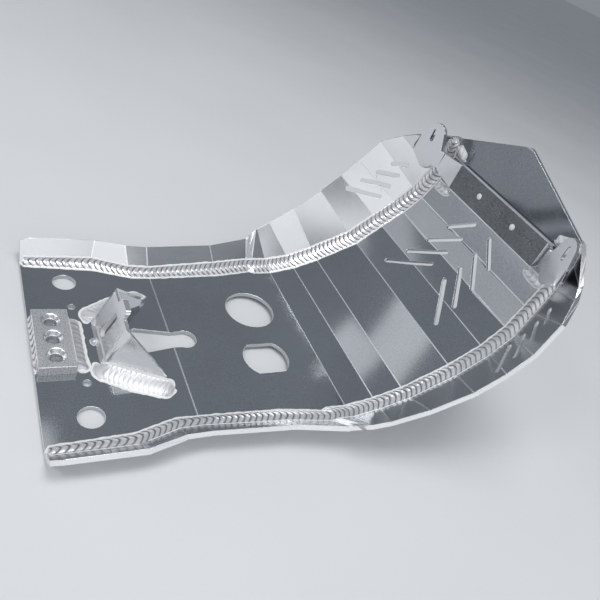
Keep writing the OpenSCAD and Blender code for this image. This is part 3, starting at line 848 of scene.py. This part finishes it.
def bead_ring(corner, to_a, to_b, crown, s, total, look):
    """The points across a bead at the distance s, and their UVs.

    Past the end of what the bead leans on, edge b comes down early."""
    out, side_a, side_b = crown.normalized(), to_a.normalized(), to_b.normalized()
    over_a = (out - out.dot(side_a) * side_a).normalized()
    over_b = (out - out.dot(side_b) * side_b).normalized()
    distance = min(s, total - s)
    run_on = look.reach[0] if s < total / 2 else look.reach[1]
    size = rounded(distance - look.margin, look.end_radius)
    tall = rounded(distance - look.margin - RUN_ON_LOW * run_on, look.end_radius)
    wide = rounded(distance, look.end_radius + look.margin)
    beat = s / look.pitch + BEAT_DRIFT * uneven(s, 4 * look.pitch, seed=1.7)
    height = look.height * (1 + SIZE_DRIFT * uneven(s, 1.5 * look.pitch, seed=5.1))
    border_a = look.margin * (1 + SIZE_DRIFT * uneven(s, look.pitch, seed=8.3)) * side_a
    border_b = look.margin * (1 + SIZE_DRIFT * uneven(s, look.pitch, seed=3.9)) * side_b * tall
    rim = SCALLOP * ripple(beat)
    centre = corner + look.heart * to_a
    from_centre_a = corner + to_a - centre
    from_centre_b = corner + to_b * look.climb * tall - centre
    a = centre + from_centre_a * size + side_a * rim
    b = centre + from_centre_b * size + side_b * rim
    outer_a = centre + (from_centre_a + border_a) * wide
    outer_b = centre + (from_centre_b + border_b) * wide
    ring = [centre + (corner - centre) * wide, outer_a - FILM * over_a]
    ring.append(a.lerp(outer_a, RIDGE) + FILM * over_a)
    marks = [(beat, v) for v in BORDER_V_A]
    for k in range(ACROSS + 1):
        u = k / ACROSS
        swell = math.sin(math.pi * u)
        count = beat + look.bow * BOW_DEPTH * swell
        crest = out * height * swell**CREST_POWER * (ripple(count) - MID_RIPPLE)
        lift = min(size, LEAST_LIFT + (1 - LEAST_LIFT) * tall) * (crown * swell + crest)
        ring.append(a + u * (b - a) + lift + FILM * ((1 - u) * over_a + u * over_b))
        marks.append((count, u))
    ring.append(b.lerp(outer_b, RIDGE) + FILM * over_b)
    ring.append(outer_b - FILM * over_b)
    marks += [(beat, v) for v in BORDER_V_B]
    return ring, marks


print("points in a ring:", len(BORDER_V_A) + ACROSS + 1 + len(BORDER_V_B))

# %% [markdown]
# ## Drawing a whole bead
# The rings are drawn close together, twelve to a crescent. Between two
# stations of the CAD bead its corner and edges are blended, and its crown is
# first evened out, so that only the new ripples show. Each ring is joined
# to the next, and the two ends are closed.

# %% Draw a whole bead
RINGS_PER_CRESCENT = 12
EVEN_OVER = 4  # stations to either side
TINY = 0.00001  # keeps two stations apart where a bead doesn't run on
BEAD_FACE, BORDER_FACE = range(2)


def blend_at(values, places, place):
    """The value at one place along a list of values and their places."""
    k = max(1, min(bisect.bisect_left(places, place), len(places) - 1))
    t = (place - places[k - 1]) / (places[k] - places[k - 1])
    return values[k - 1] * (1 - t) + values[k] * t


def stretched(stations, reach):
    """Adds a station past each end of the bead."""
    first, second, last, former = stations[0], stations[1], stations[-1], stations[-2]
    back = (first[0] - second[0]).normalized() * max(reach[0], TINY)
    ahead = (last[0] - former[0]).normalized() * max(reach[1], TINY)
    return [[p + back for p in first], *stations, [p + ahead for p in last]]


def evened(crowns):
    """The mean of each crown and its neighbours."""
    even = []
    for i in range(len(crowns)):
        near = crowns[max(0, i - EVEN_OVER) : i + EVEN_OVER + 1]
        even.append(sum(near, Vector()) / len(near))
    return even


def join_rings(bm, rings, marks):
    """Skins the rings, closes both ends and writes the UV map."""
    uv = bm.loops.layers.uv["bead"]
    count = len(rings[0])
    first = len(BORDER_V_A)
    for j in range(len(rings) - 1):
        for k in range(count):
            pairs = ((j, k), (j, (k + 1) % count), (j + 1, (k + 1) % count), (j + 1, k))
            face = bm.faces.new([rings[row][column] for row, column in pairs])
            face.material_index = BEAD_FACE if first <= k < first + ACROSS else BORDER_FACE
            for loop, (row, column) in zip(face.loops, pairs):
                loop[uv].uv = marks[row][column]
    bm.faces.new(rings[0])
    bm.faces.new(rings[-1])
    bmesh.ops.recalc_face_normals(bm, faces=bm.faces)


def bead_piece(node, look):
    corners, edge_a, edge_b, tops = zip(*stretched(read_bead(node), look.reach))
    places = [0.0]
    for p, q in zip(corners, corners[1:]):
        places.append(places[-1] + (q - p).length)
    crowns = evened([top - (a + b) / 2 for a, b, top in zip(edge_a, edge_b, tops)])
    total = places[-1]
    steps = math.ceil(total / look.pitch * RINGS_PER_CRESCENT)
    bm = bmesh.new()
    bm.loops.layers.uv.new("bead")
    rings, marks = [], []
    for j in range(steps + 1):
        s = total * j / steps
        corner, a, b, crown = (blend_at(row, places, s) for row in (corners, edge_a, edge_b, crowns))
        ring, mark = bead_ring(corner, a - corner, b - corner, crown, s, total, look)
        rings.append([bm.verts.new(point) for point in ring])
        marks.append(mark)
    join_rings(bm, rings, marks)
    piece = add_piece(node + "_dressed", bm, node, [look.metal, WELD_MARGIN])
    print(node, "rings:", steps + 1, "faces:", len(piece.data.polygons))
    return piece


bead_piece("seam_weld_left", SEAM_LOOK)
bead_piece("seam_weld_right", RIGHT_SEAM_LOOK)
bead_piece("block_rear_weld", BLOCK_REAR_LOOK)
bead_piece("block_front_weld", BLOCK_FRONT_LOOK)
bead_piece("bracket_foot_weld", FOOT_LOOK)
for side in ("left", "right"):
    bead_piece("bracket_weld_" + side, PAD_LOOK)
    bead_piece("crossbar_upper_weld_" + side, BLOB_LOOK)
    bead_piece("crossbar_lower_weld_" + side, BLOB_LOOK)

# %% [markdown]
# ## The plug welds
# Two round lumps of weld fill holes in the crossbar's strip. The CAD model
# gives them a few facets. A subdivision smooths those, and creases hold the
# rim where the lump meets the sheet, so no new shape has to be modelled.

# %% Dress the plug welds
JOIN_BELOW = math.radians(40)
JOIN_SHAPE = math.radians(60)
CREASE_TURN = (38, 180)


def plug_piece(node):
    bm = copy_node(node, FINE_MERGE)
    bmesh.ops.join_triangles(
        bm, faces=bm.faces, angle_face_threshold=JOIN_BELOW, angle_shape_threshold=JOIN_SHAPE
    )
    crease = bm.edges.layers.float.new("crease_edge")
    for edge in edges_between(bm, *CREASE_TURN):
        edge[crease] = 1.0
    piece = add_piece(node + "_dressed", bm, node, [WELD_MARGIN])
    smooth = piece.modifiers.new("smooth_plug", "SUBSURF")
    smooth.levels = smooth.render_levels = 1
    return piece


for side in ("left", "right"):
    print("plug faces:", len(plug_piece("plug_weld_" + side).data.polygons))

# %% [markdown]
# ## The floor
# The tray stands on a plain pale sheet without an edge in sight.

# %% Lay the floor
FLOOR_REACH = 40.0
FLOOR_GAP = 0.0002


def plain_floor():
    bm = bmesh.new()
    bmesh.ops.create_grid(bm, x_segments=1, y_segments=1, size=FLOOR_REACH)
    bmesh.ops.translate(bm, verts=bm.verts, vec=(0, 0, cad_low.z - FLOOR_GAP))
    mesh = bpy.data.meshes.new("studio_floor")
    bm.to_mesh(mesh)
    bm.free()
    floor = bpy.data.objects.new("studio_floor", mesh)
    scene.collection.objects.link(floor)
    material, tree, shader = new_material("studio_floor", metallic=0.0)
    where = tree.nodes.new("ShaderNodeTexCoord").outputs["Object"]
    spots = noise(tree, where, scale=3, detail=2.0)
    tone = add_ramp(tree, spots, [(0.3, (0.76, 0.77, 0.78)), (0.7, (0.80, 0.81, 0.82))])
    tree.links.new(tone, shader.inputs["Base Color"])
    shader.inputs["Roughness"].default_value = 0.8
    mesh.materials.append(material)
    return floor


print("floor at z =", round(plain_floor().data.vertices[0].co.z, 4))

# %% [markdown]
# ## The lamps
# Bright metal only looks like metal when it has something plain to mirror,
# and each flat of the tray mirrors another part of the room. So a wide
# softbox stands behind the camera, and five more hang at the top, the back,
# the front, low and high, for flats that look that way. The key from
# straight above and the one from the rear are small and strong, and they
# whiten the welds. The room beyond stays a calm grey, which the dark floor
# of the tray mirrors.

# %% Hang the lamps
TRAY_MIDDLE = (0.2, 0, 0.05)
ROOM_TONE = (0.235, 0.255, 0.28, 1)


def softbox(name, place, target, size, radiance):
    """A lamp whose face is as bright as radiance; 1 is white."""
    data = bpy.data.lights.new(name, "AREA")
    data.shape = "RECTANGLE"
    data.size, data.size_y = size
    data.energy = radiance * math.pi * size[0] * size[1]
    lamp = bpy.data.objects.new(name, data)
    scene.collection.objects.link(lamp)
    ahead = Vector(target) - Vector(place)
    lamp.rotation_euler = ahead.to_track_quat("-Z", "Y").to_euler()
    lamp.location = place
    return lamp


softbox("wall_softbox", (-0.2, -1.8, 0.78), (-0.2, 0, 0.2), size=(5.0, 1.45), radiance=0.72)
softbox("top_softbox", (0.0, -0.78, 1.4), TRAY_MIDDLE, size=(0.95, 0.5), radiance=0.75)
softbox("back_softbox", (-1.2, 1.6, 1.0), TRAY_MIDDLE, size=(2.0, 1.0), radiance=0.34)
softbox("low_softbox", (-1.6, 1.25, 0.35), (0.35, 0, 0.15), size=(1.5, 0.65), radiance=0.62)
softbox("high_softbox", (0.0, 0.83, 1.45), TRAY_MIDDLE, size=(0.55, 0.20), radiance=0.55)
softbox("front_softbox", (1.25, 0.0, 1.5), TRAY_MIDDLE, size=(0.6, 0.5), radiance=0.85)
softbox("key_softbox", (0.15, -0.05, 2.2), TRAY_MIDDLE, size=(1.15, 1.15), radiance=4.4)
softbox("rear_softbox", (-1.0, -0.15, 1.35), (0.35, 0, 0.1), size=(0.45, 0.45), radiance=7.0)

world = bpy.data.worlds.new("grey_room")
world.use_nodes = True
world.node_tree.nodes["Background"].inputs["Color"].default_value = ROOM_TONE
world.node_tree.nodes["Background"].inputs["Strength"].default_value = 1.0
scene.world = world
print("lamps:", len(bpy.data.lights))
